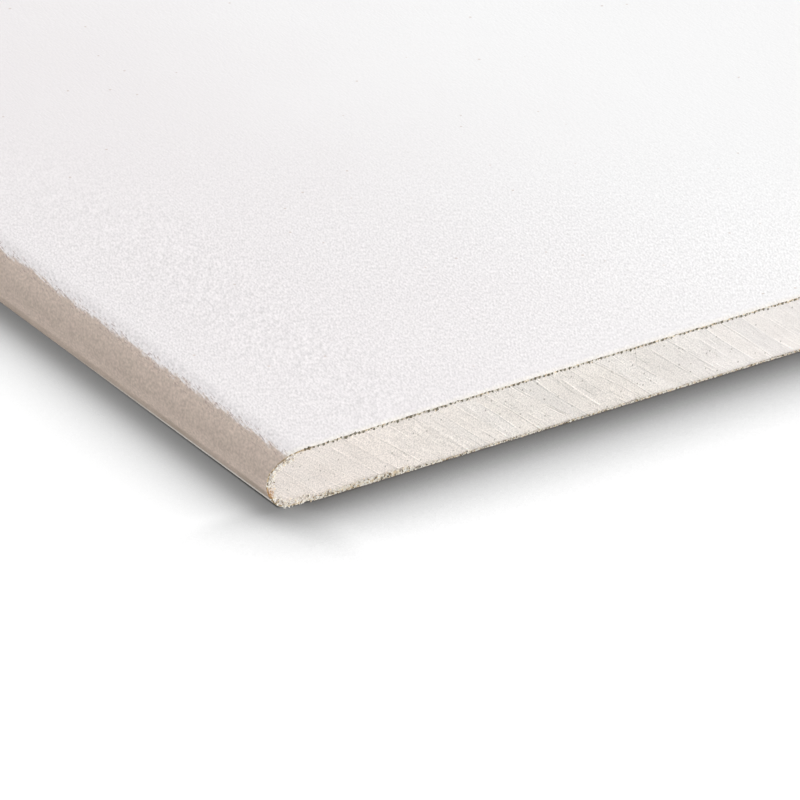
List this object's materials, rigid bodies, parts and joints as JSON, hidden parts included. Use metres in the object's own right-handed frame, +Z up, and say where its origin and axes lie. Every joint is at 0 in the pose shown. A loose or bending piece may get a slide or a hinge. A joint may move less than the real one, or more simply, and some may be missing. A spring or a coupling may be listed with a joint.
{
  "type": "drywall sheet",
  "caption": "Flat gypsum board sheet with a white paper face wrapped round two half-round long edges, a paper back and square-cut ends.",
  "frame": {"origin": "on the floor under the middle of the sheet, which lies face up", "axes": "+X across the width, +Y along the length and the paper-covered edges, +Z up through the thickness to the face"},
  "size_m": [1.25, 2.5, 0.0125],
  "materials": {
    "gypsum": "cream foamed gypsum, sawn and matte",
    "face_liner": "matte white liner paper, beige where it wraps the long edges",
    "back_liner": "matte grey-brown liner paper"
  },
  "bodies": {
    "root": {"gypsum_core": "gypsum", "face_paper": "face_liner", "back_paper": "back_liner"}
  },
  "joints": []
}
